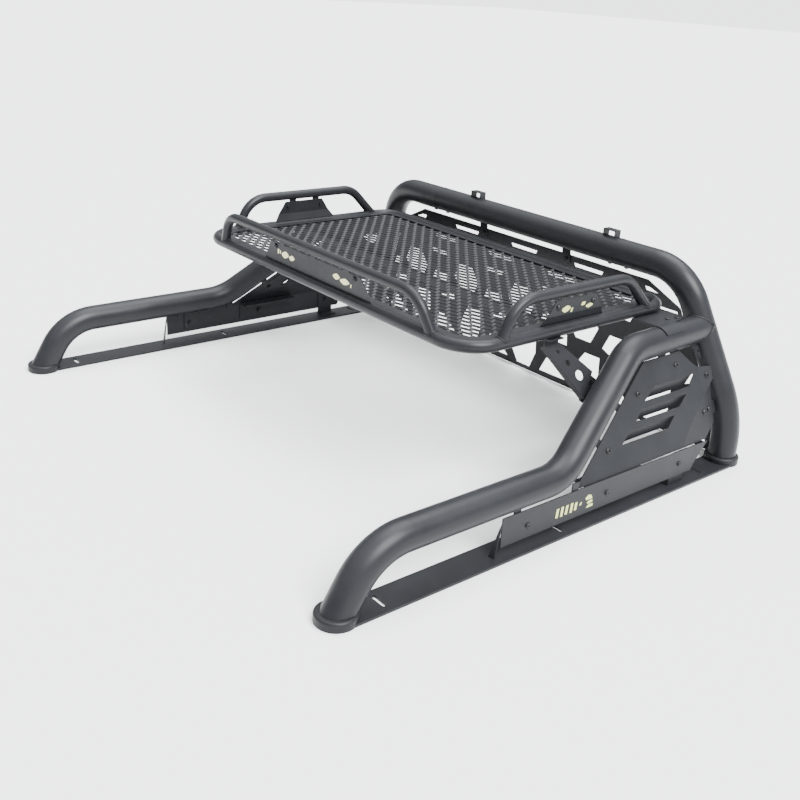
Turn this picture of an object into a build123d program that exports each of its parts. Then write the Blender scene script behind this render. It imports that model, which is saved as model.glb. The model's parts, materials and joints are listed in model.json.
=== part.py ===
from build123d import *
import os
from math import atan2, cos, degrees, radians, sin, tan

os.makedirs("parts", exist_ok=True)

# Frame: X across the vehicle, Y towards the tailgate, Z up, millimetres.
# The origin is the centre of the two base rails, on the face that rests on the bed walls.
# Every right-hand piece (+X) is modelled, and its left-hand twin is mirrored about X = 0.

# ---- driving dimensions ----
TUBE_R = 38.0  # main tube, 76 mm outside diameter
BORE_R = 35.5
FOOT_X = 790.0
FOOT_Y = 659.0
RAIL_X = 794.0
RAIL_W = 80.0
RAIL_T = 6.0
PAD_R = 47.0
SLOT_L = 45.0
SLOT_W = 11.0
SLOT_YS = (-553.0, -19.0, 532.0)
COLLAR_R = 47.0
COLLAR_H = 16.0
COLLAR_ROUND = 6.0

SIDE_TOP_Z = 365.0
KNEE_Z = 130.0
BAR_Y = 602.4
BAR_Z = 506.6
BAR_CORNER_X = 608.0
SPLICE_X = 385.0
SPLICE_L = 120.0
SPLICE_DRILL = 12.0
SLEEVE_T = 4.0

SHEET = 3.0  # thickness of the folded plates
BOLT_R = 4.0
HEAD_R = 7.0
HEAD_H = 4.4
HOLE_R = 4.5
NUT_AF = 13.0
NUT_H = 6.0

BASKET_X = 600.0
BASKET_Z = 420.0
BASKET_FRONT = -181.0
BASKET_REAR = 547.0
BASKET_R = 16.0
FRONT_BEND = 95.0
REAR_BEND = 60.0
LEDGE_W = 30.0
LEDGE_Z = BASKET_Z + 1.0
MESH_Z = LEDGE_Z + SHEET
MESH_T = 4.0
CELL_X = 86.0
CELL_Y = 72.0
STRAND = 13.0
CROSS_Y = 141.0
GUARD_R = 14.0
GUARD_TOP = 515.0

# ---- points on the tube centre lines ----
SIDE_RUN = (
    (FOOT_X, -FOOT_Y, RAIL_T),
    (FOOT_X, -577, 142),
    (FOOT_X, -22, 142),
    (693, 297, SIDE_TOP_Z),
    (677, 624, SIDE_TOP_Z - 1),
)
SIDE_BENDS = (150, 160, 115)
HOOP_RUN = (
    (FOOT_X, FOOT_Y, RAIL_T),
    (FOOT_X, FOOT_Y, KNEE_Z),
    (BAR_CORNER_X, BAR_Y, BAR_Z),
    (SPLICE_X, BAR_Y, BAR_Z),
)
HOOP_BENDS = (365, 144)

# The two tubes of each side and the hoop leg lie close to one leaning plane.
LEAN = 24.7
LEAN_PLANE = Plane(
    origin=(789, 0, 140),
    x_dir=(0, 1, 0),
    z_dir=(cos(radians(LEAN)), 0, sin(radians(LEAN))),
)
# The headboard leans towards the cab, in the plane of the hoop.
HEAD_LEAN = degrees(atan2(FOOT_Y - BAR_Y, BAR_Z - KNEE_Z))
HEAD_FRONT = Plane(
    origin=(0, FOOT_Y + (KNEE_Z * tan(radians(HEAD_LEAN))), 0),
    x_dir=(1, 0, 0),
    z_dir=(0, -cos(radians(HEAD_LEAN)), -sin(radians(HEAD_LEAN))),
)


# ---- helpers ----
def bent_rod(points, bends, radius, mode=Mode.ADD, close=False):
    """Add or cut a round rod along straight runs joined by bends."""
    with BuildLine() as run:
        FilletPolyline(*points, radius=list(bends), close=close)
    path = run.wire()
    with BuildSketch(Plane(origin=path @ 0, z_dir=path % 0)) as section:
        Circle(radius)
    sweep(section.sketch, path=path, mode=mode)


def hollow_tube(points, bends, outer, bore):
    """Add a round tube along straight runs joined by bends to the open part."""
    bent_rod(points, bends, outer)
    bent_rod(points, bends, bore, mode=Mode.SUBTRACT)


def rod(start, end, radius, mode=Mode.SUBTRACT):
    """Add or cut a straight round rod between two points."""
    axis = Vector(*end) - Vector(*start)
    with BuildSketch(Plane(origin=start, z_dir=axis)) as section:
        Circle(radius)
    extrude(section.sketch, amount=axis.length, mode=mode)


def along(start, end, share):
    """A point between two points, or past them."""
    return tuple(a + (b - a) * share for a, b in zip(start, end))


def sheet_plane(points):
    """The plane of three or more points that run anticlockwise round its front."""
    first, second, third = (Vector(*p) for p in points[:3])
    across = second - first
    return Plane(origin=first, x_dir=across, z_dir=across.cross(third - second))


def flat_sheet(points, thickness=SHEET):
    """A flat plate whose front face has these corners."""
    plane = sheet_plane(points)
    corners = [plane.to_local_coords(Vector(*p)) for p in points]
    with BuildPart() as piece:
        with BuildSketch(plane):
            Polygon(*[(c.X, c.Y) for c in corners], align=None)
        extrude(amount=-thickness)
    return piece.part


def bolt(grip):
    """A button-head bolt with its head on Z = 0 and its shank below."""
    low = (Align.CENTER, Align.CENTER, Align.MIN)
    high = (Align.CENTER, Align.CENTER, Align.MAX)
    with BuildPart() as piece:
        Cylinder(HEAD_R, HEAD_H / 2, align=low)
        with Locations((0, 0, HEAD_H / 2)):
            Cone(HEAD_R, HEAD_R * 0.62, HEAD_H / 2, align=low)
        with BuildSketch(Plane.XY.offset(HEAD_H)):
            RegularPolygon(HEAD_R * 0.38, 6)
        extrude(amount=-HEAD_H * 0.55, mode=Mode.SUBTRACT)
        Cylinder(BOLT_R, grip, align=high)
    return piece.part


def nut():
    """A hexagon nut below Z = 0."""
    with BuildPart() as piece:
        with BuildSketch():
            RegularPolygon(NUT_AF / 2, 6, major_radius=False)
            Circle(BOLT_R + 0.05, mode=Mode.SUBTRACT)
        extrude(amount=-NUT_H)
    return piece.part


def placed(piece, planes):
    """Copies of a piece, one on each plane."""
    return [plane.location * piece for plane in planes]


def mirrored(planes):
    """The same planes on the left-hand side, their fronts still outwards."""
    return [
        Plane(
            origin=(-p.origin.X, p.origin.Y, p.origin.Z),
            x_dir=(p.x_dir.X, -p.x_dir.Y, -p.x_dir.Z),
            z_dir=(-p.z_dir.X, p.z_dir.Y, p.z_dir.Z),
        )
        for p in planes
    ]


def save(name, piece):
    """Label a finished part and write its file."""
    piece.part.label = name
    export_step(piece.part, f"parts/{name}.step")


def save_pair(name, piece):
    """Write a right-hand part and its mirrored left-hand twin."""
    with BuildPart() as twin:
        mirror(piece.part, about=Plane.YZ)
    save(f"right_{name}", piece)
    save(f"left_{name}", twin)


# ---- base rail: a slotted flat bar with a round pad at each end ----
with BuildPart() as base_rail:
    with BuildSketch():
        with Locations((RAIL_X, 0)):
            Rectangle(RAIL_W, 2 * FOOT_Y)
        with Locations((FOOT_X, FOOT_Y), (FOOT_X, -FOOT_Y)):
            Circle(PAD_R)
        with Locations(*[(RAIL_X, y) for y in SLOT_YS]):
            SlotOverall(SLOT_L, SLOT_W, mode=Mode.SUBTRACT)
    extrude(amount=RAIL_T)
save_pair("base_rail", base_rail)

# ---- side tube: foot, low run, ramp and high run, coped onto the hoop leg ----
foot, ramp_foot, ramp_low, ramp_top, high_end = SIDE_RUN
with BuildPart() as side_tube:
    hollow_tube(
        (along(foot, ramp_foot, -0.3), ramp_foot, ramp_low, ramp_top, along(ramp_top, high_end, 0.98)),
        SIDE_BENDS,
        TUBE_R,
        BORE_R,
    )
    split(bisect_by=Plane.XY.offset(RAIL_T), keep=Keep.TOP)
    rod(along(HOOP_RUN[1], HOOP_RUN[2], 0.25), along(HOOP_RUN[1], HOOP_RUN[2], 0.9), TUBE_R)
save_pair("side_tube", side_tube)

# ---- hoop: two bent legs and a straight top bar, joined by sleeves ----
with BuildPart() as hoop_leg:
    hollow_tube(HOOP_RUN, HOOP_BENDS, TUBE_R, BORE_R)
    with Locations((SPLICE_X + SPLICE_L / 4, BAR_Y, BAR_Z - TUBE_R)):
        Cylinder(HOLE_R, SPLICE_DRILL, mode=Mode.SUBTRACT)
save_pair("hoop_leg", hoop_leg)

SPLICE_STEP = SPLICE_L / 4  # from the joint to the bolt on each side of it
SPLICE_HOLES_X = (
    -SPLICE_X - SPLICE_STEP,
    -SPLICE_X + SPLICE_STEP,
    SPLICE_X - SPLICE_STEP,
    SPLICE_X + SPLICE_STEP,
)
with BuildPart() as hoop_top_bar:
    with BuildSketch(Plane(origin=(-SPLICE_X, BAR_Y, BAR_Z), z_dir=(1, 0, 0))):
        Circle(TUBE_R)
        Circle(BORE_R, mode=Mode.SUBTRACT)
    extrude(amount=2 * SPLICE_X)
    with Locations(*[(x, BAR_Y, BAR_Z - TUBE_R) for x in SPLICE_HOLES_X[1:3]]):
        Cylinder(HOLE_R, SPLICE_DRILL, mode=Mode.SUBTRACT)
save("hoop_top_bar", hoop_top_bar)

SLEEVE_R = BORE_R - 0.2
with BuildPart() as splice_sleeves:
    for centre in (-SPLICE_X, SPLICE_X):
        with BuildSketch(Plane(origin=(centre - SPLICE_L / 2, BAR_Y, BAR_Z), z_dir=(1, 0, 0))):
            Circle(SLEEVE_R)
            Circle(SLEEVE_R - SLEEVE_T, mode=Mode.SUBTRACT)
        extrude(amount=SPLICE_L)
    with Locations(*[(x, BAR_Y, BAR_Z - TUBE_R) for x in SPLICE_HOLES_X]):
        Cylinder(BOLT_R, SPLICE_DRILL + SLEEVE_T, mode=Mode.SUBTRACT)
save("splice_sleeves", splice_sleeves)

under_bar = [
    Plane(origin=(x, BAR_Y, BAR_Z - TUBE_R), x_dir=(1, 0, 0), z_dir=(0, 0, -1)) for x in SPLICE_HOLES_X
]
with BuildPart() as splice_bolts:
    add(placed(bolt(TUBE_R - BORE_R + SLEEVE_T + 0.5), under_bar))
save("splice_bolts", splice_bolts)

# ---- weld collars round the four feet ----
with BuildPart() as foot_collars:
    for side in (-1, 1):
        for end in (-1, 1):
            with BuildSketch(Plane(origin=(side * FOOT_X, end * FOOT_Y, RAIL_T))):
                Circle(COLLAR_R)
            extrude(amount=COLLAR_H)
    fillet(foot_collars.edges().filter_by(GeomType.CIRCLE).group_by(Axis.Z)[-1], COLLAR_ROUND)
    for side in (-1, 1):
        feet = [(side * x, y, z) for x, y, z in (SIDE_RUN[0], SIDE_RUN[1], HOOP_RUN[0], HOOP_RUN[1])]
        rod(along(feet[0], feet[1], -0.3), feet[1], TUBE_R)
        rod(feet[2], feet[3], TUBE_R)
save("foot_collars", foot_collars)

# Solid rods with the outer shape of each tube, to cope other pieces onto them.
with BuildPart() as side_rod:
    bent_rod(
        (along(foot, ramp_foot, -0.3), ramp_foot, ramp_low, ramp_top, high_end),
        SIDE_BENDS,
        TUBE_R,
    )
with BuildPart() as leg_rod:
    bent_rod(HOOP_RUN, HOOP_BENDS, TUBE_R)

# ---- headboard: a laser-cut lattice between the hoop legs ----
HEAD_EDGE = ((488, 450), (602, 396), (728, 140), (737, 60), (737, 2))
HEAD_PITCH = 268.0
HEAD_BORDER = 14.0
HANGER_XS = (-182.0, 182.0)
HANGER_W = 32.0
HANGER_L = 48.0
HANGER_RISE = 456.0  # middle of each hanger, up the leaning plate
HANGER_BOLT_RISE = 442.0
HEAD_CELLS = (
    ((-33, 13), (22, 13), (53, 77), (57, 150), (-2, 150), (-23, 123), (-56, 57)),
    ((69, 21), (191, 23), (132, 78), (102, 77)),
    ((112, 148), (190, 147), (190, 186)),
    ((-43, 189), (18, 189), (48, 245), (21, 295), (-44, 295), (-74, 240)),
    ((93, 239), (65, 186), (91, 173), (158, 200), (165, 239)),
    ((85, 304), (165, 304), (172, 319), (79, 319)),
    ((105, 362), (220, 362), (228, 400), (97, 400)),
    ((-52, 418), (52, 418), (58, 430), (-58, 430)),
    ((0, 376), (73, 376), (73, 384), (0, 384)),
)


def on_headboard(points):
    """Heights above the rails turned into heights along the leaning plate."""
    rise = 1 / cos(radians(HEAD_LEAN))
    return [(x, z * rise) for x, z in points]


def headboard_outline(inset=0.0):
    """The plate's outline, or the same outline moved inwards."""
    right = [(x - inset, z) for x, z in HEAD_EDGE]
    right[0] = (right[0][0] + inset / 2, right[0][1] - inset)
    right[-1] = (right[-1][0], right[-1][1] + inset)
    left = [(-x, z) for x, z in reversed(right)]
    return on_headboard(right[::-1] + left[::-1])


with BuildSketch(HEAD_FRONT) as head_holes:
    for column in range(-3, 4):
        for cell in HEAD_CELLS:
            Polygon(*on_headboard([(x + column * HEAD_PITCH, z) for x, z in cell]), align=None)
    Polygon(*headboard_outline(HEAD_BORDER), align=None, mode=Mode.INTERSECT)

with BuildPart() as headboard:
    with BuildSketch(HEAD_FRONT):
        Polygon(*headboard_outline(), align=None)
    extrude(amount=-SHEET)
    extrude(head_holes.sketch, amount=-SHEET, mode=Mode.SUBTRACT)
    with Locations(*[HEAD_FRONT.location * Location((x, HANGER_BOLT_RISE, 0)) for x in HANGER_XS]):
        Cylinder(HOLE_R, 4 * SHEET, mode=Mode.SUBTRACT)
save("headboard", headboard)

# Hangers hold the headboard under the top bar, and side tabs hold it to the legs.
with BuildPart() as headboard_hangers:
    with BuildSketch(HEAD_FRONT):
        with Locations(*[(x, HANGER_RISE) for x in HANGER_XS]):
            Rectangle(HANGER_W, HANGER_L)
        with Locations(*[(x, HANGER_BOLT_RISE) for x in HANGER_XS]):
            Circle(HOLE_R, mode=Mode.SUBTRACT)
    extrude(amount=SHEET)
    rod((-SPLICE_X, BAR_Y, BAR_Z), (SPLICE_X, BAR_Y, BAR_Z), TUBE_R)
save("headboard_hangers", headboard_hangers)

HEAD_TABS = ((735, 60), (712, 200), (640, 350))  # distance from the middle, and rise
HEAD_TAB_W = 54.0
HEAD_TAB_H = 30.0
with BuildPart() as headboard_tabs:
    with BuildSketch(HEAD_FRONT.offset(-SHEET)):
        for x, rise in HEAD_TABS:
            with Locations((-x, rise), (x, rise)):
                Rectangle(HEAD_TAB_W, HEAD_TAB_H)
    extrude(amount=-SHEET)
    add(leg_rod.part, mode=Mode.SUBTRACT)
    add(mirror(leg_rod.part, about=Plane.YZ, mode=Mode.PRIVATE), mode=Mode.SUBTRACT)
save("headboard_tabs", headboard_tabs)

hanger_planes = [
    Plane(HEAD_FRONT.location * Location((x, HANGER_BOLT_RISE, SHEET))) for x in HANGER_XS
]
with BuildPart() as headboard_bolts:
    add(placed(bolt(2 * SHEET + NUT_H + 1), hanger_planes))
save("headboard_bolts", headboard_bolts)

# ---- side panel: leaning slotted plate, with a bent ear and gusset at the hoop ----
FOLD_LOW = (434.0, -42.0)
FOLD_HIGH = (560.0, 73.0)
PANEL_EDGE = (
    (19, -42),
    FOLD_LOW,
    FOLD_HIGH,
    (560, 152),
    (549, 160),
    (529, 178),
    (500, 206),
    (351, 206),
)
SLOTS = (
    ((325, 108), (509, 108), (541, 137), (373, 137)),
    ((279, 65), (454, 65), (493, 91), (304, 91)),
    ((209, 21), (393, 21), (429, 48), (250, 48)),
)
EAR_TURN = 12.5
EAR_PLANE = Plane(LEAN_PLANE.location * Location((FOLD_HIGH[0], 0, 0), (0, -EAR_TURN, 0)))
EAR_EDGE = ((-2, 66), (30, 96), (46, 112), (46, 146), (-2, 152))
GUSSET = (
    tuple(LEAN_PLANE.from_local_coords(Vector(*FOLD_LOW))),
    (800.9, 545, 100),
    (786, 592, 131),
    (742.8, 604, 240),
    tuple(LEAN_PLANE.from_local_coords(Vector(*FOLD_HIGH))),
)
GUSSET_PLANE = sheet_plane(GUSSET)
PANEL_BOLTS = ((473, 173), (303, 130), (155, 19))
LUG_BOLTS = ((775, 556, 165), (772, 579, 168))
ear_bolt_plane = Plane(EAR_PLANE.location * Location((26, 124, 0)))
panel_bolt_planes = [Plane(LEAN_PLANE.location * Location((y, v, 0))) for y, v in PANEL_BOLTS]


def on_gusset(point):
    """A bolt plane on the gusset nearest to a point."""
    near = GUSSET_PLANE.to_local_coords(Vector(*point))
    return Plane(GUSSET_PLANE.location * Location((near.X, near.Y, 0)))


lug_bolt_planes = [on_gusset(point) for point in LUG_BOLTS]
gusset_sheet = flat_sheet(GUSSET)
with BuildPart() as side_panel:
    with BuildSketch(LEAN_PLANE):
        Polygon(*PANEL_EDGE, align=None)
        for slot in SLOTS:
            Polygon(*slot, align=None, mode=Mode.SUBTRACT)
    extrude(amount=-SHEET)
    with BuildSketch(EAR_PLANE):
        Polygon(*EAR_EDGE, align=None)
    extrude(amount=-SHEET)
    add(gusset_sheet)
    with Locations(*panel_bolt_planes, ear_bolt_plane, *lug_bolt_planes):
        Cylinder(HOLE_R, 4 * SHEET, mode=Mode.SUBTRACT)
    add(leg_rod.part, mode=Mode.SUBTRACT)
    add(side_rod.part, mode=Mode.SUBTRACT)
save_pair("side_panel", side_panel)

# ---- louvre plate: bolted behind the side panel, one pressed blade behind each slot ----
LOUVRE_T = 2.0
BLADE_TURN = 26.0
BLADE_MARGIN = 10.0
LOUVRE_EDGE = (
    (140, 5),
    (410, 5),
    (555, 138),
    (550, 154),
    (490, 187),
    (452, 187),
    (288, 146),
    (140, 32),
)


def louvre_opening(slot):
    """The slot's outline with room round it for the blade."""
    (left, low), (right, _), (far_right, high), (far_left, _) = slot
    return (
        (left - BLADE_MARGIN, low - 4),
        (right + BLADE_MARGIN, low - 4),
        (far_right + BLADE_MARGIN - 4, high + SHEET),
        (far_left - BLADE_MARGIN, high + SHEET),
    )


def blade_edge(slot):
    """The blade's outline, down from its bend at the slot's top."""
    (left, low), (right, _), (far_right, high), (far_left, _) = slot
    drop = (high - low) * 1.1
    return (
        (left - BLADE_MARGIN / 2, -drop),
        (right, -drop),
        (far_right, LOUVRE_T),
        (far_left - BLADE_MARGIN / 2, LOUVRE_T),
    )


with BuildPart() as louvre_plate:
    with BuildSketch(LEAN_PLANE.offset(-SHEET)):
        Polygon(*LOUVRE_EDGE, align=None)
        for slot in SLOTS:
            Polygon(*louvre_opening(slot), align=None, mode=Mode.SUBTRACT)
    extrude(amount=-LOUVRE_T)
    for slot in SLOTS:
        bend = Location((0, slot[2][1] + SHEET, -SHEET), (BLADE_TURN, 0, 0))
        with BuildSketch(Plane(LEAN_PLANE.location * bend)):
            Polygon(*blade_edge(slot), align=None)
        extrude(amount=-LOUVRE_T)
    with Locations(*panel_bolt_planes):
        Cylinder(HOLE_R, 6 * SHEET, mode=Mode.SUBTRACT)
    split(bisect_by=LEAN_PLANE.offset(-SHEET), keep=Keep.BOTTOM)
save_pair("louvre_plate", louvre_plate)

# ---- lower panel: upright plate with a tapered end ear that reaches the rail ----
LOWER_X = 813.0
LOWER_EDGE = ((-226, 29), (478, 29), (490, 50), (535, 101), (-226, 104))
LOWER_BOLTS = ((-143, 61), (132, 64), (420, 64))
LOWER_FRONT = Plane(origin=(LOWER_X, 0, 0), x_dir=(0, 1, 0), z_dir=(1, 0, 0))
lower_bolt_planes = [Plane(LOWER_FRONT.location * Location((y, z, 0))) for y, z in LOWER_BOLTS]
end_ear = flat_sheet(((LOWER_X, -226, 101), (LOWER_X - 15, -246, 6), (LOWER_X, -243, 6)))
with BuildPart() as lower_panel:
    with BuildSketch(LOWER_FRONT):
        Polygon(*LOWER_EDGE, align=None)
    extrude(amount=-SHEET)
    add(end_ear)
    with Locations(*lower_bolt_planes):
        Cylinder(HOLE_R, 4 * SHEET, mode=Mode.SUBTRACT)
    add(side_panel.part, mode=Mode.SUBTRACT)
    add(base_rail.part, mode=Mode.SUBTRACT)
save_pair("lower_panel", lower_panel)

# ---- brackets behind the lower panel: two angles on its back, and one that stands on the rail ----
BRACKET_TOP = 100.0
ANGLE_LOW = 42.0
BRACKET_FOOT_W = 30.0
BRACKETS = (  # start, end, low edge and width of the ledge
    (-163, -123, ANGLE_LOW, 0),
    (54, 264, ANGLE_LOW, 40),
    (390, 450, RAIL_T, 0),
)
UPRIGHT_X = LOWER_X - SHEET
with BuildPart() as panel_brackets:
    for start_y, end_y, low_edge, ledge in BRACKETS:
        section_plane = Plane(origin=(UPRIGHT_X, start_y, 0), x_dir=(1, 0, 0), z_dir=(0, -1, 0))
        corner = (Align.MAX, Align.MAX)
        with BuildSketch(section_plane) as profile:
            with Locations((0, BRACKET_TOP)):
                Rectangle(SHEET, BRACKET_TOP - low_edge, align=corner)
                Rectangle(SHEET + ledge, SHEET, align=corner)
            if low_edge == RAIL_T:
                with Locations((0, RAIL_T + SHEET)):
                    Rectangle(BRACKET_FOOT_W, SHEET, align=corner)
        extrude(profile.sketch, amount=start_y - end_y)
    with Locations(*lower_bolt_planes):
        Cylinder(HOLE_R, 6 * SHEET, mode=Mode.SUBTRACT)
save_pair("panel_brackets", panel_brackets)

# ---- weld tabs: side panel and lower panel to the side tube, lug and corner web to the hoop leg ----
EDGE_SLOPE = degrees(atan2(164, 230))
TAB_W = 22.0
TAB_L = 62.0
EDGE_TABS = ((221, 119), (126, 51))
TOP_TAB = (430, 208)
LOWER_TABS = ((-178, 106), (14, 106))
with BuildPart() as panel_tabs:
    with BuildSketch(LEAN_PLANE.offset(-SHEET)):
        with Locations(*[Location((y, v, 0), (0, 0, EDGE_SLOPE)) for y, v in EDGE_TABS]):
            Rectangle(TAB_W, TAB_L)
        with Locations(TOP_TAB):
            Rectangle(30, 26)
    extrude(amount=-SHEET)
    with BuildSketch(LOWER_FRONT.offset(-SHEET)):
        with Locations(*LOWER_TABS):
            Rectangle(TAB_W, 34)
    extrude(amount=-SHEET)
    add(side_rod.part, mode=Mode.SUBTRACT)
    add(louvre_plate.part, mode=Mode.SUBTRACT)
    add(side_panel.part, mode=Mode.SUBTRACT)
save_pair("panel_tabs", panel_tabs)

with BuildPart() as leg_lug:
    with BuildSketch(GUSSET_PLANE.offset(-SHEET)):
        with Locations(GUSSET_PLANE.to_local_coords(Vector(770, 590, 168))):
            Rectangle(80, 34)
    extrude(amount=-SHEET - 1)
    add(leg_rod.part, mode=Mode.SUBTRACT)
    with Locations(*lug_bolt_planes):
        Cylinder(HOLE_R, 6 * SHEET, mode=Mode.SUBTRACT)
save_pair("leg_lug", leg_lug)

with BuildPart() as corner_web:
    with BuildSketch(LEAN_PLANE.offset(-2 * SHEET)):
        Polygon((548, 224), (622, 224), (622, 168), (600, 160), align=None)
        with Locations((585, 192)):
            Circle(HOLE_R, mode=Mode.SUBTRACT)
    extrude(amount=-SHEET)
    add(side_rod.part, mode=Mode.SUBTRACT)
    add(leg_rod.part, mode=Mode.SUBTRACT)
save_pair("corner_web", corner_web)

PANEL_GRIP = SHEET + LOUVRE_T
all_right = panel_bolt_planes + lug_bolt_planes + lower_bolt_planes
with BuildPart() as panel_bolts:
    for side_planes in (all_right + [ear_bolt_plane], mirrored(all_right + [ear_bolt_plane])):
        add(placed(bolt(PANEL_GRIP + NUT_H + 3), side_planes))
save("panel_bolts", panel_bolts)
with BuildPart() as panel_nuts:
    for side_planes, grip in (
        (panel_bolt_planes, PANEL_GRIP),
        (lug_bolt_planes, 2 * SHEET + 1),
        (lower_bolt_planes, 2 * SHEET),
        ([ear_bolt_plane], SHEET),
    ):
        backs = [plane.offset(-grip) for plane in side_planes]
        add(placed(nut(), backs + mirrored(backs)))
save("panel_nuts", panel_nuts)

# ---- basket: perimeter tube, ledge frame, cross bar and expanded-metal floor ----
BASKET_LOOP = (
    (BASKET_X, BASKET_FRONT, BASKET_Z),
    (BASKET_X, BASKET_REAR, BASKET_Z),
    (-BASKET_X, BASKET_REAR, BASKET_Z),
    (-BASKET_X, BASKET_FRONT, BASKET_Z),
)
BASKET_BENDS = (FRONT_BEND, REAR_BEND, REAR_BEND, FRONT_BEND)
with BuildPart() as basket_rod:
    bent_rod(BASKET_LOOP, BASKET_BENDS, BASKET_R, close=True)
with BuildPart() as basket_perimeter:
    bent_rod(BASKET_LOOP, BASKET_BENDS, BASKET_R, close=True)
    bent_rod(BASKET_LOOP, BASKET_BENDS, BASKET_R - 2, mode=Mode.SUBTRACT, close=True)
save("basket_perimeter", basket_perimeter)


def basket_field(inset):
    """The inside of the perimeter tube, seen from above, moved inwards by an inset."""
    corners = [(x, y) for x, y, _ in BASKET_LOOP]
    with BuildSketch() as field:
        with BuildLine():
            FilletPolyline(*corners, radius=list(BASKET_BENDS), close=True)
        make_face()
        offset(amount=-inset, kind=Kind.INTERSECTION)
    return field.sketch


with BuildPart() as basket_ledge:
    extrude(Plane.XY.offset(LEDGE_Z).location * basket_field(BASKET_R), amount=SHEET)
    inner = Plane.XY.offset(LEDGE_Z).location * basket_field(BASKET_R + LEDGE_W)
    extrude(inner, amount=SHEET, mode=Mode.SUBTRACT)
    add(basket_rod.part, mode=Mode.SUBTRACT)
save("basket_ledge", basket_ledge)

CROSS_W = 30.0
CROSS_H = 15.0
CROSS_T = 2.0
with BuildPart() as basket_cross_bar:
    cross_end = Plane(origin=(-BASKET_X, CROSS_Y, LEDGE_Z - CROSS_H / 2), x_dir=(0, 1, 0), z_dir=(1, 0, 0))
    with BuildSketch(cross_end):
        Rectangle(CROSS_W, CROSS_H)
        Rectangle(CROSS_W - 2 * CROSS_T, CROSS_H - 2 * CROSS_T, mode=Mode.SUBTRACT)
    extrude(amount=2 * BASKET_X)
    add(basket_rod.part, mode=Mode.SUBTRACT)
    split(bisect_by=Plane.YZ.offset(BASKET_X - BASKET_R / 2), keep=Keep.BOTTOM)
    split(bisect_by=Plane.YZ.offset(-BASKET_X + BASKET_R / 2), keep=Keep.TOP)
save("basket_cross_bar", basket_cross_bar)

MESH_CENTRE_Y = (BASKET_FRONT + BASKET_REAR) / 2
MESH_COLUMNS = 13
MESH_ROWS = 9
DIAMOND = ((CELL_X - STRAND) / 2, (CELL_Y - STRAND) / 2)
with BuildSketch(Plane.XY.offset(MESH_Z)) as mesh_holes:
    centres = GridLocations(CELL_X, CELL_Y, MESH_COLUMNS, MESH_ROWS).locations
    between = GridLocations(CELL_X, CELL_Y, MESH_COLUMNS - 1, MESH_ROWS - 1).locations
    with Locations(*[Location((0, MESH_CENTRE_Y, 0)) * place for place in centres + between]):
        Polygon((DIAMOND[0], 0), (0, DIAMOND[1]), (-DIAMOND[0], 0), (0, -DIAMOND[1]), align=None)
with BuildPart() as basket_mesh:
    extrude(Plane.XY.offset(MESH_Z).location * basket_field(BASKET_R + 2), amount=MESH_T)
    extrude(mesh_holes.sketch, amount=MESH_T, mode=Mode.SUBTRACT)
    add(basket_rod.part, mode=Mode.SUBTRACT)
save("basket_mesh", basket_mesh)

# ---- guards: hoops that stand on the front and the sides of the perimeter tube ----
FRONT_GUARD_RUN = (
    (485, BASKET_FRONT, BASKET_Z),
    (435, BASKET_FRONT - 14, GUARD_TOP),
    (-435, BASKET_FRONT - 14, GUARD_TOP),
    (-485, BASKET_FRONT, BASKET_Z),
)
SIDE_GUARD_RUN = (
    (BASKET_X, -71, BASKET_Z),
    (BASKET_X, -27, GUARD_TOP + 2),
    (BASKET_X, 371, GUARD_TOP + 2),
    (BASKET_X, 469, BASKET_Z),
)
with BuildPart() as front_guard:
    hollow_tube(FRONT_GUARD_RUN, (81, 81), GUARD_R, GUARD_R - 2)
    add(basket_rod.part, mode=Mode.SUBTRACT)
save("front_guard", front_guard)
with BuildPart() as side_guard:
    hollow_tube(SIDE_GUARD_RUN, (88, 88), GUARD_R, GUARD_R - 2)
    add(basket_rod.part, mode=Mode.SUBTRACT)
save_pair("guard", side_guard)
with BuildPart() as guard_rods:
    bent_rod(FRONT_GUARD_RUN, (81, 81), GUARD_R)
    bent_rod(SIDE_GUARD_RUN, (88, 88), GUARD_R)
    mirror(about=Plane.YZ)

# ---- guard plates: name plates without names, between each guard and the perimeter tube ----
PLATE_LOW = BASKET_Z + BASKET_R
PLATE_HIGH = 493.0
GUARD_TILT = 14 / (GUARD_TOP - BASKET_Z)
front_plate_corners = [
    (x, BASKET_FRONT - GUARD_TILT * (z - BASKET_Z), z)
    for x, z in ((-250, PLATE_LOW), (250, PLATE_LOW), (210, PLATE_HIGH), (-210, PLATE_HIGH))
]
FRONT_PLATE_PLANE = sheet_plane(front_plate_corners)
SIDE_PLATE_PLANE = Plane(origin=(BASKET_X + SHEET / 2, 0, 0), x_dir=(0, 1, 0), z_dir=(1, 0, 0))
PLATE_TAB_W = 24.0
front_plate = flat_sheet(front_plate_corners)


def plate_tabs(plane, centres, low, high):
    """Short tabs from a guard plate's top edge up into its guard tube."""
    with BuildSketch(plane) as tabs:
        with Locations(*[(c, (low + high) / 2) for c in centres]):
            Rectangle(PLATE_TAB_W, high - low)
    return tabs.sketch


front_tab_plane = Plane(
    origin=(0, BASKET_FRONT, BASKET_Z), x_dir=(1, 0, 0), z_dir=FRONT_PLATE_PLANE.z_dir
)
FRONT_PLATE_BOLTS = ((-185, 64), (185, 64))
front_plate_bolt_planes = [
    Plane(front_tab_plane.location * Location((x, v, 0))) for x, v in FRONT_PLATE_BOLTS
]
with BuildPart() as front_guard_plate:
    add(front_plate)
    tabs = plate_tabs(front_tab_plane, (-150, 0, 150), PLATE_HIGH - BASKET_Z - 2, GUARD_TOP - BASKET_Z)
    extrude(tabs, amount=-SHEET)
    with Locations(*front_plate_bolt_planes):
        Cylinder(HOLE_R, 4 * SHEET, mode=Mode.SUBTRACT)
    add(basket_rod.part, mode=Mode.SUBTRACT)
    add(guard_rods.part, mode=Mode.SUBTRACT)
save("front_guard_plate", front_guard_plate)

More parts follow.
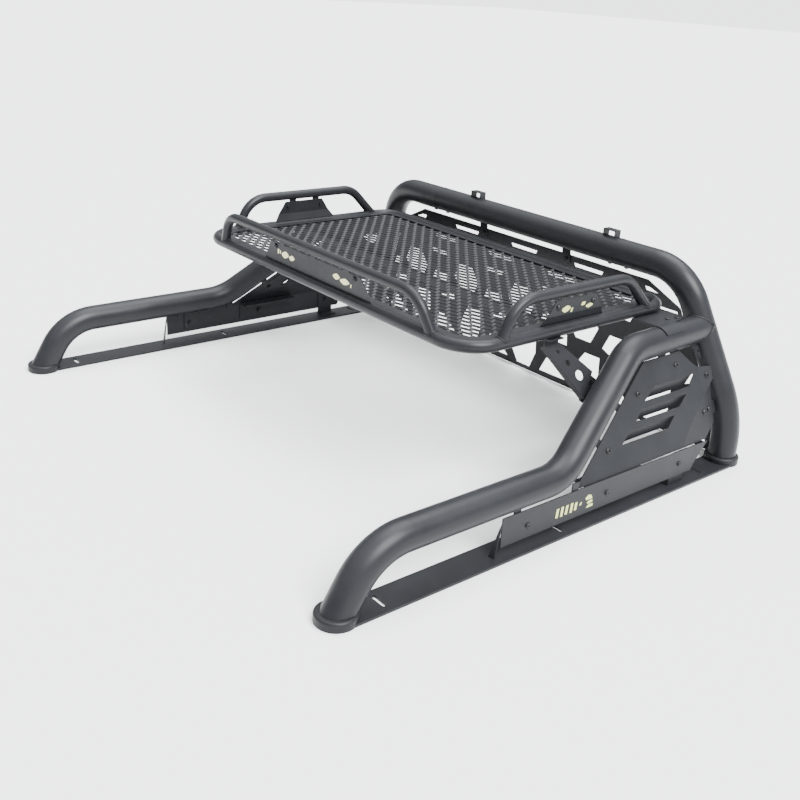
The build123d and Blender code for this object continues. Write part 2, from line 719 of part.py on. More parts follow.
SIDE_PLATE_FOLD = 458.0
SIDE_PLATE_BOLTS = ((116, 479), (242, 479))
side_plate_bolt_planes = [
    Plane(SIDE_PLATE_PLANE.location * Location((y, z, 0))) for y, z in SIDE_PLATE_BOLTS
]
low_band = flat_sheet(
    (
        (BASKET_X - 6, 66, PLATE_LOW - 1),
        (BASKET_X - 6, 294, PLATE_LOW - 1),
        (BASKET_X + SHEET / 2, 276, SIDE_PLATE_FOLD),
        (BASKET_X + SHEET / 2, 82, SIDE_PLATE_FOLD),
    )
)
with BuildPart() as side_guard_plate:
    with BuildSketch(SIDE_PLATE_PLANE):
        Polygon((82, SIDE_PLATE_FOLD), (276, SIDE_PLATE_FOLD), (250, 496), (108, 496), align=None)
    extrude(amount=-SHEET)
    add(low_band)
    extrude(plate_tabs(SIDE_PLATE_PLANE, (135, 225), 494, GUARD_TOP), amount=-SHEET)
    with Locations(*side_plate_bolt_planes):
        Cylinder(HOLE_R, 4 * SHEET, mode=Mode.SUBTRACT)
    add(basket_rod.part, mode=Mode.SUBTRACT)
    add(guard_rods.part, mode=Mode.SUBTRACT)
save_pair("guard_plate", side_guard_plate)

guard_bolt_planes = front_plate_bolt_planes + side_plate_bolt_planes + mirrored(side_plate_bolt_planes)
with BuildPart() as guard_bolts:
    add(placed(bolt(SHEET + NUT_H), guard_bolt_planes))
save("guard_bolts", guard_bolts)

# ---- braces: pierced plates from the basket down to a bracket on each ramp tube ----
BRACE_TOP = ((600, 82, 386), (600, 132, 387))
BRACE_LOW = ((652, 215, 310), (684, 157, 261))
BRACE_HOLES = ((0.18, 5.5), (0.45, 8.0), (0.76, 13.5))  # share of the length, radius
BRACE_FLANGE = 16.0
BRACE_FACE = (BRACE_TOP[0], BRACE_LOW[1], BRACE_LOW[0], BRACE_TOP[1])
BRACE_PLANE = sheet_plane(BRACE_FACE)
brace_out = BRACE_PLANE.z_dir


def behind_brace(point, depth):
    """A point moved behind the brace's face."""
    return tuple(Vector(*point) - brace_out * depth)


top_mid = (Vector(*BRACE_TOP[0]) + Vector(*BRACE_TOP[1])) * 0.5
low_mid = (Vector(*BRACE_LOW[0]) + Vector(*BRACE_LOW[1])) * 0.5
low_line = (Vector(*BRACE_LOW[0]) - Vector(*BRACE_LOW[1])).normalized()
toward_tube = low_line.cross(brace_out).normalized()
toward_tube = toward_tube * (1 if toward_tube.dot(low_mid - top_mid) > 0 else -1)
brace_sheets = [
    flat_sheet(BRACE_FACE),
    flat_sheet(
        (
            BRACE_TOP[0],
            behind_brace(BRACE_TOP[0], BRACE_FLANGE),
            behind_brace(BRACE_LOW[1], BRACE_FLANGE),
            BRACE_LOW[1],
        )
    ),
    flat_sheet(
        (
            BRACE_LOW[1],
            behind_brace(BRACE_LOW[1], BRACE_FLANGE),
            behind_brace(BRACE_LOW[0], BRACE_FLANGE),
            BRACE_LOW[0],
        )
    ),
    flat_sheet(((600, 82, 384), (600, 132, 385), (600, 132, 402), (600, 82, 402))),
]
with BuildPart() as brace:
    add(brace_sheets)
    with Locations((BASKET_X, 107, BASKET_Z - BASKET_R - SHEET / 2)):
        Box(34, 50, SHEET)
    for share, radius in BRACE_HOLES:
        centre = BRACE_PLANE.to_local_coords(top_mid + (low_mid - top_mid) * share)
        with BuildSketch(BRACE_PLANE):
            with Locations((centre.X, centre.Y)):
                Circle(radius)
        extrude(amount=-2 * SHEET, mode=Mode.SUBTRACT)
save_pair("brace", brace)

BRACKET_REACH = 45.0
bracket_corners = [
    behind_brace(BRACE_LOW[1], BRACE_FLANGE),
    behind_brace(tuple(Vector(*BRACE_LOW[1]) + toward_tube * BRACKET_REACH), BRACE_FLANGE),
    behind_brace(tuple(Vector(*BRACE_LOW[0]) + toward_tube * BRACKET_REACH), BRACE_FLANGE),
    behind_brace(BRACE_LOW[0], BRACE_FLANGE),
]
BRACKET_PLANE = sheet_plane(bracket_corners)


def on_bracket(share):
    """A bolt plane on the bracket, part of the way along the brace's low edge."""
    low, high = Vector(*bracket_corners[0]), Vector(*bracket_corners[3])
    near = BRACKET_PLANE.to_local_coords(low + (high - low) * share + toward_tube * 13)
    return Plane(BRACKET_PLANE.location * Location((near.X, near.Y, 0)))


brace_bolt_planes = [on_bracket(share) for share in (0.28, 0.78)]
bracket_sheet = flat_sheet(bracket_corners, SHEET + 1)
with BuildPart() as brace_bracket:
    add(bracket_sheet)
    add(side_rod.part, mode=Mode.SUBTRACT)
    with Locations(*brace_bolt_planes):
        Cylinder(HOLE_R, 4 * SHEET, mode=Mode.SUBTRACT)
save_pair("brace_bracket", brace_bracket)
with BuildPart() as brace_bolts:
    add(placed(bolt(SHEET + 1 + NUT_H), brace_bolt_planes + mirrored(brace_bolt_planes)))
save("brace_bolts", brace_bolts)

# ---- saddles: plates over the high run of each side tube, under the basket's rear corners ----
SADDLE_Z = SIDE_TOP_Z + TUBE_R
SADDLE_EDGE = ((598, 410), (688, 410), (684, 487), (672, 544), (612, 544), (598, 500))
SADDLE_BOLTS = ((661, 483), (668, 515))
WRAP_ANGLE = 50.0
WRAP_L = 77.0
wrap_start = along(ramp_top, high_end, (410 - ramp_top[1]) / (high_end[1] - ramp_top[1]))
high_dir = Vector(*high_end) - Vector(*ramp_top)
WRAP_PLANE = Plane(origin=wrap_start, x_dir=(1, 0, 0), z_dir=high_dir)
saddle_bolt_planes = [Plane(origin=(x, y, SADDLE_Z + SHEET)) for x, y in SADDLE_BOLTS]
with BuildPart() as saddle:
    with BuildSketch(Plane.XY.offset(SADDLE_Z)):
        Polygon(*SADDLE_EDGE, align=None)
    extrude(amount=SHEET)
    with BuildSketch(WRAP_PLANE):
        with BuildLine():
            CenterArc((0, 0), TUBE_R + SHEET, -90, WRAP_ANGLE)
            Line((0, 0), (0, -TUBE_R - SHEET))
            Line((0, 0), Vector(TUBE_R + SHEET, 0).rotate(Axis.Z, WRAP_ANGLE - 90))
        make_face()
    extrude(amount=WRAP_L)
    add(side_rod.part, mode=Mode.SUBTRACT)
    add(basket_rod.part, mode=Mode.SUBTRACT)
    with Locations(*saddle_bolt_planes):
        Cylinder(HOLE_R, 4 * SHEET, mode=Mode.SUBTRACT)
save_pair("saddle", saddle)
with BuildPart() as saddle_bolts:
    add(placed(bolt(SHEET), saddle_bolt_planes + mirrored(saddle_bolt_planes)))
save("saddle_bolts", saddle_bolts)

# ---- light brackets: small bridges welded on the top bar ----
LIGHT_XS = (-215.0, 346.0)
LIGHT_W = 44.0
LIGHT_D = 24.0
LIGHT_Z = 564.0
with BuildPart() as light_brackets:
    for x in LIGHT_XS:
        bridge_end = Plane(origin=(x, BAR_Y + LIGHT_D / 2, 0), x_dir=(1, 0, 0), z_dir=(0, -1, 0))
        with BuildSketch(bridge_end) as bridge:
            with Locations((0, LIGHT_Z / 2)):
                Rectangle(LIGHT_W, LIGHT_Z)
            with Locations((0, LIGHT_Z / 2 - SHEET)):
                Rectangle(LIGHT_W - 2 * SHEET, LIGHT_Z, mode=Mode.SUBTRACT)
        extrude(bridge.sketch, amount=LIGHT_D)
    split(bisect_by=Plane.XY.offset(BAR_Z), keep=Keep.TOP)
    rod((-SPLICE_X - 9, BAR_Y, BAR_Z), (SPLICE_X + 9, BAR_Y, BAR_Z), TUBE_R)
    with Locations(*[(x, BAR_Y, LIGHT_Z) for x in LIGHT_XS]):
        Cylinder(HOLE_R, 4 * SHEET, mode=Mode.SUBTRACT)
save("light_brackets", light_brackets)

# ---- badges: plain raised shapes in place of marks ----
BADGE_T = 0.8
FRONT_BADGES = ((-125, 66), (130, 84))  # place across the basket, and length
FRONT_BADGE_V = 46.0
FRONT_BADGE_H = 26.0
with BuildPart() as badges:
    for centre_x, width in FRONT_BADGES:
        with BuildSketch(front_tab_plane):
            with Locations((centre_x, FRONT_BADGE_V)):
                SlotOverall(width, FRONT_BADGE_H)
        extrude(amount=BADGE_T)
    for plane in [LOWER_FRONT] + mirrored([LOWER_FRONT]):
        with BuildSketch(plane):
            with Locations((66, 61)):
                Rectangle(32, 38)
        extrude(amount=BADGE_T)
save("badges", badges)
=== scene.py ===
import json
from math import cos, pi, radians, sin, sqrt

import bmesh
import bpy
from mathutils import Matrix, Vector


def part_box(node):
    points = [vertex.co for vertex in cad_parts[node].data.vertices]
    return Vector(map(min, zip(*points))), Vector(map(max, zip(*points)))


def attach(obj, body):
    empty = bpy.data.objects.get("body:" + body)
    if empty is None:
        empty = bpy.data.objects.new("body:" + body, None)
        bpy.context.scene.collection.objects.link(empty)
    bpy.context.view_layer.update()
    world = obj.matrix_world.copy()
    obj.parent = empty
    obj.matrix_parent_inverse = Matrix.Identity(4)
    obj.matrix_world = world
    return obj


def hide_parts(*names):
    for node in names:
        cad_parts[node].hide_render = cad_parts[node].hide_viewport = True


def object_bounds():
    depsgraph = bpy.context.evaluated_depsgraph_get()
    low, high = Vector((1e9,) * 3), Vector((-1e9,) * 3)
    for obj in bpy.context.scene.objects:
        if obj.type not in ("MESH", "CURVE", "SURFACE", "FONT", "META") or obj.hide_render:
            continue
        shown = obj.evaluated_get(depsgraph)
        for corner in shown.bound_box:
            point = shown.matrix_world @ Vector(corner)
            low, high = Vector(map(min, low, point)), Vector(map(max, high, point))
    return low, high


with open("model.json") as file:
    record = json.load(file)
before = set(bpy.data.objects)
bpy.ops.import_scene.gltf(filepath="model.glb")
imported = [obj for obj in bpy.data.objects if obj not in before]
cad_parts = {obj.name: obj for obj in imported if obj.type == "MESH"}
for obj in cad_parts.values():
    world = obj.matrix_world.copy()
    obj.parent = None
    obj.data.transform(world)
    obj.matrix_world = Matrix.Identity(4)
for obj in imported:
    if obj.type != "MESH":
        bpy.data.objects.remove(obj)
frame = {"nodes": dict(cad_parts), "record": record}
cad_box = [list(corner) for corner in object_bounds()]
BODY = "root"
MM = 0.001

# ---- places read from the CAD boxes, in metres ----
perimeter_low, perimeter_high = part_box("basket_perimeter")
mesh_low, mesh_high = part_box("basket_mesh")
BASKET_R = (perimeter_high.z - perimeter_low.z) / 2
BASKET_X = perimeter_high.x - BASKET_R
BASKET_Z = (perimeter_high.z + perimeter_low.z) / 2
FRONT_Y = perimeter_low.y + BASKET_R
REAR_Y = perimeter_high.y - BASKET_R
FRONT_BEND = 95 * MM
REAR_BEND = 60 * MM


# ---- materials ----
def node_material(name):
    """A new material with its shader node and a helper that adds linked nodes."""
    material = bpy.data.materials.new(name)
    material.use_nodes = True
    tree = material.node_tree
    shader = tree.nodes["Principled BSDF"]

    def add(kind, inputs=(), **settings):
        node = tree.nodes.new(kind)
        for key, value in settings.items():
            setattr(node, key, value)
        for socket, value in dict(inputs).items():
            if hasattr(value, "is_output"):
                tree.links.new(value, node.inputs[socket])
            else:
                node.inputs[socket].default_value = value
        return node

    return material, tree, shader, add


def powder_coat(name, colour, roughness, grain_mm, grain_height, dust=0.35, scuffs=0.3):
    """Black powder coat: fine orange peel, uneven gloss, dust on upward faces and faint scuffs."""
    material, tree, shader, add = node_material(name)
    place = add("ShaderNodeTexCoord").outputs["Object"]
    peel = add("ShaderNodeTexNoise", {"Vector": place, "Scale": 1000 / grain_mm, "Detail": 3.0})
    cloud = add(
        "ShaderNodeTexNoise",
        {"Vector": place, "Scale": 9.0, "Detail": 5.0, "Roughness": 0.6},
    )
    streak = add(
        "ShaderNodeMapping",
        {"Vector": place, "Scale": (22.0, 22.0, 90.0), "Rotation": (0.4, 0.2, 0.7)},
    )
    scratch = add(
        "ShaderNodeTexNoise",
        {"Vector": streak.outputs[0], "Scale": 1.6, "Detail": 9.0, "Roughness": 0.7},
    )
    scuff = add(
        "ShaderNodeMapRange",
        {"Value": scratch.outputs[0], "From Min": 0.60, "From Max": 0.74, "To Min": 0.0, "To Max": scuffs},
    )
    up = add("ShaderNodeSeparateXYZ", {0: add("ShaderNodeNewGeometry").outputs["Normal"]})
    facing = add(
        "ShaderNodeMapRange",
        {"Value": up.outputs["Z"], "From Min": 0.15, "From Max": 0.95, "To Min": 0.0, "To Max": dust},
    )
    dusty = add("ShaderNodeMath", {0: facing.outputs[0], 1: cloud.outputs[0]}, operation="MULTIPLY")
    dark = tuple(c * 0.78 for c in colour) + (1,)
    light = tuple(c * 1.22 for c in colour) + (1,)
    dust_colour = tuple(c * 2.2 + 0.006 for c in colour) + (1,)
    scuff_colour = tuple(c * 2.4 + 0.006 for c in colour) + (1,)
    base = add("ShaderNodeMix", {"Factor": cloud.outputs[0], "A": dark, "B": light}, data_type="RGBA")
    for share, colour_over in ((dusty, dust_colour), (scuff, scuff_colour)):
        base = add(
            "ShaderNodeMix",
            {"Factor": share.outputs[0], "A": base.outputs["Result"], "B": colour_over},
            data_type="RGBA",
        )
    tree.links.new(base.outputs["Result"], shader.inputs["Base Color"])
    gloss = add(
        "ShaderNodeMapRange",
        {
            "Value": cloud.outputs[0],
            "From Min": 0.3,
            "From Max": 0.7,
            "To Min": roughness - 0.05,
            "To Max": roughness + 0.07,
        },
    )
    tree.links.new(gloss.outputs[0], shader.inputs["Roughness"])
    bump = add(
        "ShaderNodeBump",
        {"Height": peel.outputs[0], "Strength": 0.35, "Distance": grain_height * MM},
    )
    tree.links.new(bump.outputs[0], shader.inputs["Normal"])
    shader.inputs["Specular IOR Level"].default_value = 0.20
    return material


def printed_badge(name, colour):
    """Pale printed enamel with slight mottling."""
    material, tree, shader, add = node_material(name)
    place = add("ShaderNodeTexCoord").outputs["Object"]
    mottle = add("ShaderNodeTexNoise", {"Vector": place, "Scale": 120.0, "Detail": 4.0})
    dark = tuple(c * 0.72 for c in colour) + (1,)
    base = add(
        "ShaderNodeMix",
        {"Factor": mottle.outputs[0], "A": dark, "B": colour + (1,)},
        data_type="RGBA",
    )
    tree.links.new(base.outputs["Result"], shader.inputs["Base Color"])
    bump = add("ShaderNodeBump", {"Height": mottle.outputs[0], "Strength": 0.2, "Distance": 0.2 * MM})
    tree.links.new(bump.outputs[0], shader.inputs["Normal"])
    shader.inputs["Roughness"].default_value = 0.38
    return material


TUBE_COAT = powder_coat("tube_powder_coat", (0.0120, 0.0125, 0.0145), 0.36, 1.6, 0.10)
PLATE_COAT = powder_coat("plate_powder_coat", (0.0115, 0.0122, 0.0140), 0.42, 1.2, 0.14)
WELD_COAT = powder_coat("weld_powder_coat", (0.0100, 0.0104, 0.0115), 0.46, 2.2, 0.30, dust=0.2)
MESH_COAT = powder_coat("mesh_powder_coat", (0.0100, 0.0106, 0.0122), 0.38, 1.4, 0.12)
BOLT_COAT = powder_coat("bolt_black_zinc", (0.013, 0.013, 0.014), 0.28, 0.9, 0.05, scuffs=0.6)
BADGE_PALE = printed_badge("badge_pale_yellow", (0.95, 0.92, 0.50))
BADGE_GREEN = printed_badge("badge_olive_yellow", (0.62, 0.66, 0.24))
SLOT_MATERIALS = {
    "tube_coat": TUBE_COAT,
    "plate_coat": PLATE_COAT,
    "weld_coat": WELD_COAT,
    "mesh_coat": MESH_COAT,
    "fastener": BOLT_COAT,
    "badge_yellow": BADGE_PALE,
}

for entry in frame["record"]["subparts"]:
    node = frame["nodes"][entry["node"]]
    node.data.materials.clear()
    node.data.materials.append(SLOT_MATERIALS[entry["material_slot"]])


# ---- mesh helpers ----
def piece(name, verts, faces, material, slot, smooth=False):
    """A mesh object of the part, in metres, that rides on its one body."""
    data = bpy.data.meshes.new(name)
    data.from_pydata([tuple(v) for v in verts], [], faces)
    data.materials.append(material)
    tidy = bmesh.new()
    tidy.from_mesh(data)
    bmesh.ops.recalc_face_normals(tidy, faces=tidy.faces)
    for face in tidy.faces:
        face.smooth = smooth
    tidy.to_mesh(data)
    tidy.free()
    made = bpy.data.objects.new(name, data)
    bpy.context.collection.objects.link(made)
    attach(made, BODY)
    return made


def thicken(made, depth):
    """Give a flat sheet its thickness, half on each side of it, as real geometry."""
    solid = made.modifiers.new("thickness", "SOLIDIFY")
    solid.thickness = depth
    solid.offset = 0.0
    graph = bpy.context.evaluated_depsgraph_get()
    data = bpy.data.meshes.new_from_object(made.evaluated_get(graph))
    made.modifiers.clear()
    made.data = data
    return made


def ring_sections(points, radius, sides=10, closed=True, ripple=0.0, waves=0):
    """Vertices and faces of a round bead along a run of points, its radius rippled like weld scallops."""
    count = len(points)
    verts, faces = [], []
    side = None
    for i, point in enumerate(points):
        before = points[(i - 1) % count] if closed or i else point
        after = points[(i + 1) % count] if closed or i < count - 1 else point
        ahead = (after - before).normalized()
        if side is None:
            side = ahead.orthogonal().normalized()
        else:
            side = (side - ahead * side.dot(ahead)).normalized()
        other = ahead.cross(side)
        size = radius * (1 + ripple * abs(sin(pi * waves * i / count)))
        for k in range(sides):
            turn = 2 * pi * k / sides
            verts.append(point + (side * cos(turn) + other * sin(turn)) * size)
    last = count if closed else count - 1
    for i in range(last):
        for k in range(sides):
            a, b = i * sides + k, i * sides + (k + 1) % sides
            c, d = ((i + 1) % count) * sides + (k + 1) % sides, ((i + 1) % count) * sides + k
            faces.append((a, b, c, d))
    if not closed:
        faces.append(tuple(range(sides)))
        faces.append(tuple(last * sides + k for k in reversed(range(sides))))
    return verts, faces


def join(shapes):
    """Several (verts, faces) as one."""
    verts, faces = [], []
    for more_verts, more_faces in shapes:
        shift = len(verts)
        verts.extend(more_verts)
        faces.extend(tuple(i + shift for i in face) for face in more_faces)
    return verts, faces


def flipped(shape):
    """The same shape on the left-hand side."""
    verts, faces = shape
    return [Vector((-v[0], v[1], v[2])) for v in verts], [tuple(reversed(f)) for f in faces]


# ---- basket floor: raised expanded metal ----
CELL_Y = 37 * MM
CELL_X = 42 * MM
BOND_L = 10 * MM
BOND_W = 6.5 * MM
APEX = 3.2 * MM
RAISE = 1.8 * MM
STRAND_T = 2.0 * MM
MESH_INSET = 16 * MM  # from the perimeter tube's inner side
FLOOR_Z = (mesh_low.z + mesh_high.z) / 2


def inside_basket(x, y, inset):
    """Whether a point is inside the basket's rounded outline, moved inwards."""
    bend = REAR_BEND if y > (FRONT_Y + REAR_Y) / 2 else FRONT_BEND
    reach_x = BASKET_X - inset - abs(x)
    reach_y = (REAR_Y - FRONT_Y) / 2 - inset - abs(y - (FRONT_Y + REAR_Y) / 2)
    if min(reach_x, reach_y) < 0:
        return False
    corner = bend - inset
    if reach_x > corner or reach_y > corner:
        return True
    return (corner - reach_x) ** 2 + (corner - reach_y) ** 2 < corner**2


def expanded_metal():
    """Bonds in staggered columns, with a slanted strand from each bond's ends to its neighbours."""
    columns = int(2 * BASKET_X / CELL_X) + 1
    rows = int((REAR_Y - FRONT_Y) / CELL_Y) + 2
    middle = (FRONT_Y + REAR_Y) / 2
    bonds, verts, faces = {}, [], []
    for i in range(-columns, columns + 1):
        for j in range(-rows, rows + 1):
            if (i + j) % 2:
                continue
            x, y = i * CELL_X / 2, middle + j * CELL_Y / 2
            if not inside_basket(x, y, BASKET_R + MESH_INSET):
                continue
            half = BOND_L / 2
            first = len(verts)
            for dx, dy, dz in (
                (-BOND_W / 2, -half, RAISE),
                (0, -half - APEX, -RAISE),
                (BOND_W / 2, -half, -RAISE),
                (BOND_W / 2, half, -RAISE),
                (0, half + APEX, RAISE),
                (-BOND_W / 2, half, RAISE),
            ):
                verts.append(Vector((x + dx, y + dy, FLOOR_Z + dz)))
            bonds[i, j] = first
            faces.append(tuple(range(first, first + 6)))
    for (i, j), here in bonds.items():
        right, left = bonds.get((i + 1, j + 1)), bonds.get((i - 1, j + 1))
        if right is not None:
            faces.append((here + 3, right + 1, right, here + 4))
        if left is not None:
            faces.append((here + 4, left + 2, left + 1, here + 5))
    return verts, faces


floor = piece("basket_floor_mesh", *expanded_metal(), MESH_COAT, "mesh_coat")
thicken(floor, STRAND_T)
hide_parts("basket_mesh")


# ---- border strip that clamps the mesh to the ledge ----
def rounded_outline(inset, steps=10):
    """The basket's rounded outline, moved inwards, anticlockwise."""
    points = []
    for sx, y, bend, start in (
        (1, REAR_Y, REAR_BEND, 0),
        (-1, REAR_Y, REAR_BEND, pi / 2),
        (-1, FRONT_Y, FRONT_BEND, pi),
        (1, FRONT_Y, FRONT_BEND, 3 * pi / 2),
    ):
        sy = 1 if y > (FRONT_Y + REAR_Y) / 2 else -1
        centre = Vector((sx * (BASKET_X - bend), y - sy * bend))
        for step in range(steps + 1):
            turn = start + step * pi / 2 / steps
            points.append(centre + Vector((cos(turn), sin(turn))) * (bend - inset))
    return points


def flat_ring(outer, inner, low, high):
    """A flat ring between two outlines of the same point count."""
    count = len(outer)
    verts = [Vector((p.x, p.y, z)) for outline in (outer, inner) for z in (low, high) for p in outline]
    faces = []
    for i in range(count):
        j = (i + 1) % count
        faces.append((i, j, count + j, count + i))
        faces.append((2 * count + j, 2 * count + i, 3 * count + i, 3 * count + j))
        faces.append((count + i, count + j, 3 * count + j, 3 * count + i))
        faces.append((j, i, 2 * count + i, 2 * count + j))
    return verts, faces


BORDER_T = 1.8 * MM
BORDER_GAP = 1.0 * MM
BORDER_W = 24.0 * MM
piece(
    "floor_border_strip",
    *flat_ring(
        rounded_outline(BASKET_R + BORDER_GAP),
        rounded_outline(BASKET_R + BORDER_GAP + BORDER_W),
        mesh_high.z,
        mesh_high.z + BORDER_T,
    ),
    PLATE_COAT,
    "plate_coat",
)


# ---- raised marks: generic shapes where the badges are ----
MARK_T = 0.8 * MM


def raised(outlines, origin, across, upward, lift):
    """Flat shapes standing proud of a plane, as (verts, faces)."""
    out = across.cross(upward).normalized() * lift
    shapes = []
    for outline in outlines:
        flat = [origin + across * x + upward * y for x, y in outline]
        count = len(flat)
        faces = [tuple(range(count, 2 * count)), tuple(reversed(range(count)))]
        faces += [(i, (i + 1) % count, count + (i + 1) % count, count + i) for i in range(count)]
        shapes.append((flat + [p + out for p in flat], faces))
    return join(shapes)


def leaf(x, y, length, height, skew):
    """A pointed oval outline, leaning to one side."""
    points = []
    for step in range(20):
        turn = 2 * pi * step / 20
        rise = height / 2 * sin(turn) * (1 - 0.35 * abs(cos(turn)))
        points.append((x + length / 2 * cos(turn) + skew * rise, y + rise))
    return points


def tick(x, y, width, height, skew):
    """A leaning bar."""
    low, high = y - height / 2, y + height / 2
    left, right = x - width / 2, x + width / 2
    return [(left, low), (right, low), (right + skew, high), (left + skew, high)]


def scaled(outlines):
    """Outlines in millimetres turned into metres."""
    return [[(x * MM, y * MM) for x, y in outline] for outline in outlines]


tilt = Vector((0, -14, 95)).normalized()
front_face = Vector((0, FRONT_Y, BASKET_Z))
FRONT_MARKS = [
    leaf(-140, 47, 34, 22, 0.5),
    leaf(-108, 45, 26, 17, 0.5),
    tick(-176, 50, 6, 14, 4),
    tick(-165, 50, 4, 10, 3),
    leaf(104, 49, 30, 18, 0.4),
    leaf(140, 44, 40, 19, 0.5),
    tick(165, 39, 4, 9, 3),
]
front_marks = piece(
    "front_marks",
    *raised(scaled(FRONT_MARKS), front_face, Vector((1, 0, 0)), tilt, MARK_T),
    BADGE_PALE,
    "badge_yellow",
)
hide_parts("badges")

lower_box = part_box("right_lower_panel")
LOWER_MARKS = [
    [(58, 44), (82, 44), (82, 51), (66, 51)],
    leaf(70, 58, 20, 9, 0.6),
    [(56, 66), (78, 66), (72, 76), (62, 79), (52, 72)],
    tick(35, 62, 6, 7, 3),
] + [tick(y, 61, 8, height, 2) for y, height in ((-46, 24), (-30, 26), (-14, 24), (3, 25), (18, 20))]
side_shape = raised(
    scaled(LOWER_MARKS), Vector((lower_box[1].x, 0, 0)), Vector((0, 1, 0)), Vector((0, 0, 1)), MARK_T
)
piece("right_panel_marks", *side_shape, BADGE_GREEN, "badge_yellow")
piece("left_panel_marks", *flipped(side_shape), BADGE_GREEN, "badge_yellow")
GUARD_MARKS = [
    leaf(144, 471, 30, 17, 0.4),
    tick(163, 466, 5, 10, 3),
    leaf(229, 468, 26, 11, 0.6),
    tick(204, 476, 12, 8, 3),
]
guard_shape = raised(
    scaled(GUARD_MARKS), Vector((BASKET_X + 1.5 * MM, 0, 0)), Vector((0, 1, 0)), Vector((0, 0, 1)), MARK_T
)
piece("right_guard_marks", *guard_shape, BADGE_GREEN, "badge_yellow")
piece("left_guard_marks", *flipped(guard_shape), BADGE_GREEN, "badge_yellow")


# ---- weld beads where one tube stands on another ----
def saddle_bead(base, axis, radius, main_point, main_dir, main_radius, bead, near=False):
    """A scalloped bead round a tube's end, on the surface of the tube that it meets."""
    axis, main_dir = Vector(axis).normalized(), Vector(main_dir).normalized()
    side = axis.orthogonal().normalized()
    other = axis.cross(side)
    slide = axis - main_dir * axis.dot(main_dir)
    points = []
    for step in range(48):
        turn = 2 * pi * step / 48
        start = Vector(base) + (side * cos(turn) + other * sin(turn)) * radius
        off = start - Vector(main_point)
        off -= main_dir * off.dot(main_dir)
        half = off.dot(slide)
        inner = max(half * half - slide.length_squared * (off.length_squared - main_radius**2), 0)
        reach = (-half - sqrt(inner) if near else -half + sqrt(inner)) / slide.length_squared
        points.append(start + axis * reach)
    return ring_sections([p * MM for p in points], bead * MM, sides=8, ripple=0.35, waves=24)


# Millimetres, as in the CAD source: a point on each tube's centre line, and its direction.
GUARD_R = 14.0
PERIMETER_R = 16.0
MAIN_R = 38.0
SMALL_BEAD = 2.2
MAIN_BEAD = 3.0
PERIMETER_SIDE = ((600, 0, 420), (0, 1, 0))
PERIMETER_FRONT = ((0, -181, 420), (1, 0, 0))
HOOP_LEG = ((790, 659, 130), (-182, -56.6, 376.6))
GUARD_FEET = (
    ((600, -71, 420), (0, 44, 97), PERIMETER_SIDE),
    ((600, 469, 420), (0, -98, 97), PERIMETER_SIDE),
    ((485, -181, 420), (-50, -14, 95), PERIMETER_FRONT),
)
HIGH_RUN = ((693, 297, 365), (-16, 327, -1))
feet = [
    saddle_bead(base, axis, GUARD_R, *under, PERIMETER_R, SMALL_BEAD) for base, axis, under in GUARD_FEET
]
feet.append(saddle_bead(*HIGH_RUN, MAIN_R, *HOOP_LEG, MAIN_R, MAIN_BEAD, near=True))
piece("right_weld_beads", *join(feet), WELD_COAT, "weld_coat", smooth=True)
piece("left_weld_beads", *join([flipped(shape) for shape in feet]), WELD_COAT, "weld_coat", smooth=True)

# ---- seams of the top bar's two joints ----
bar_low, bar_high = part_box("hoop_top_bar")
BAR_R = (bar_high.z - bar_low.z) / 2
SEAM_R = 0.9 * MM
SEAM_SINK = 0.2 * MM
SEAM_STEPS = 64
for name, x in (("right_seam", bar_high.x), ("left_seam", bar_low.x)):
    centre = Vector((x, (bar_low.y + bar_high.y) / 2, bar_low.z + BAR_R))
    around = []
    for step in range(SEAM_STEPS):
        angle = 2 * pi * step / SEAM_STEPS
        around.append(centre + Vector((0, cos(angle), sin(angle))) * (BAR_R - SEAM_SINK))
    piece(name, *ring_sections(around, SEAM_R, sides=8), WELD_COAT, "weld_coat", smooth=True)


# ---- camera: ahead of the right-hand side and above ----
CAMERA_AT = Vector((2.102, -1.6332, 1.1875))
VIEW = Vector((-0.7022, 0.5926, -0.3946)).normalized()
RIGHT = Vector((0.6252, 0.7785, 0.0564)).normalized()
LENS = 44.13
camera_data = bpy.data.cameras.new("camera")
camera_data.lens = LENS
camera_data.sensor_width = 36.0
camera = bpy.data.objects.new("camera", camera_data)
bpy.context.collection.objects.link(camera)
up = RIGHT.cross(VIEW).normalized()
turn = Matrix((RIGHT, up, -VIEW)).transposed().to_4x4()
camera.matrix_world = Matrix.Translation(CAMERA_AT) @ turn
bpy.context.scene.camera = camera


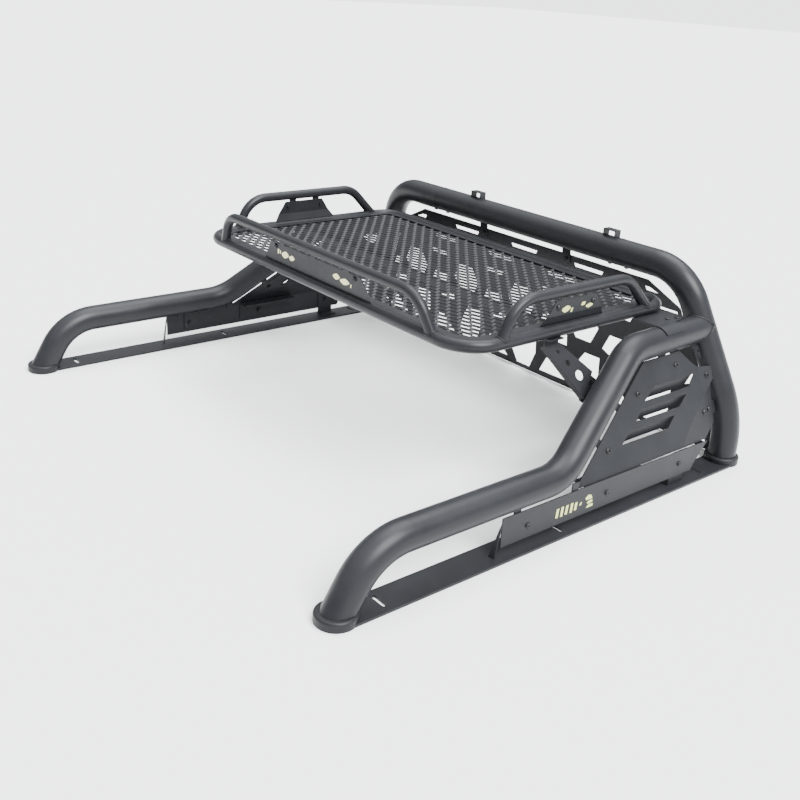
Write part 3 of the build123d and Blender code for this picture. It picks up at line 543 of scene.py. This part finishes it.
# ---- floor, backdrop and lights ----
def studio_floor():
    """A wide pale floor just under the rails."""
    size = 40.0
    low = cad_box[0][2] - 0.0005
    data = bpy.data.meshes.new("studio_floor")
    corners = [(-size, -size, low), (size, -size, low), (size, size, low), (-size, size, low)]
    data.from_pydata(corners, [], [(0, 1, 2, 3)])
    material, _, shader, _ = node_material("pale_floor")
    shader.inputs["Base Color"].default_value = (0.82, 0.82, 0.82, 1)
    shader.inputs["Roughness"].default_value = 0.9
    shader.inputs["Specular IOR Level"].default_value = 0.1
    data.materials.append(material)
    ground = bpy.data.objects.new("studio_floor", data)
    bpy.context.collection.objects.link(ground)


studio_floor()
def sun(name, towards, strength, spread, colour=(1, 1, 1)):
    """A wide soft sun that shines the given way."""
    data = bpy.data.lights.new(name, "SUN")
    data.energy = strength
    data.angle = radians(spread)
    data.color = colour
    lamp = bpy.data.objects.new(name, data)
    lamp.rotation_mode = "QUATERNION"
    lamp.rotation_quaternion = Vector(towards).to_track_quat("-Z", "Y")
    bpy.context.collection.objects.link(lamp)


sun("key_sun", (-0.66, -0.04, -0.75), 9.0, 38, (0.97, 0.985, 1.0))
sun("top_sun", (0.12, -0.30, -0.95), 3.4, 45, (0.96, 0.98, 1.0))


def studio_world():
    """White overhead, darker towards the sides, so that the black coat keeps its contrast."""
    world = bpy.data.worlds.new("pale_studio")
    world.use_nodes = True
    tree = world.node_tree
    background = tree.nodes["Background"]
    place = tree.nodes.new("ShaderNodeTexCoord")
    split = tree.nodes.new("ShaderNodeSeparateXYZ")
    ramp = tree.nodes.new("ShaderNodeValToRGB")
    for place_z, level in ((0.0, 1.0), (0.04, 1.0), (0.10, 0.12), (0.40, 0.16), (0.85, 0.8)):
        stop = ramp.color_ramp.elements.new(place_z)
        stop.color = (level, level, level, 1)
    ramp.color_ramp.elements.remove(ramp.color_ramp.elements[0])
    tree.links.new(place.outputs["Generated"], split.inputs[0])
    tree.links.new(split.outputs["Z"], ramp.inputs["Fac"])
    strength = tree.nodes.new("ShaderNodeMath")
    strength.operation = "MULTIPLY"
    strength.inputs[1].default_value = 3.0
    tree.links.new(ramp.outputs["Color"], strength.inputs[0])
    tree.links.new(strength.outputs[0], background.inputs["Strength"])
    background.inputs["Color"].default_value = (0.97, 0.985, 1, 1)
    bpy.context.scene.world = world


studio_world()
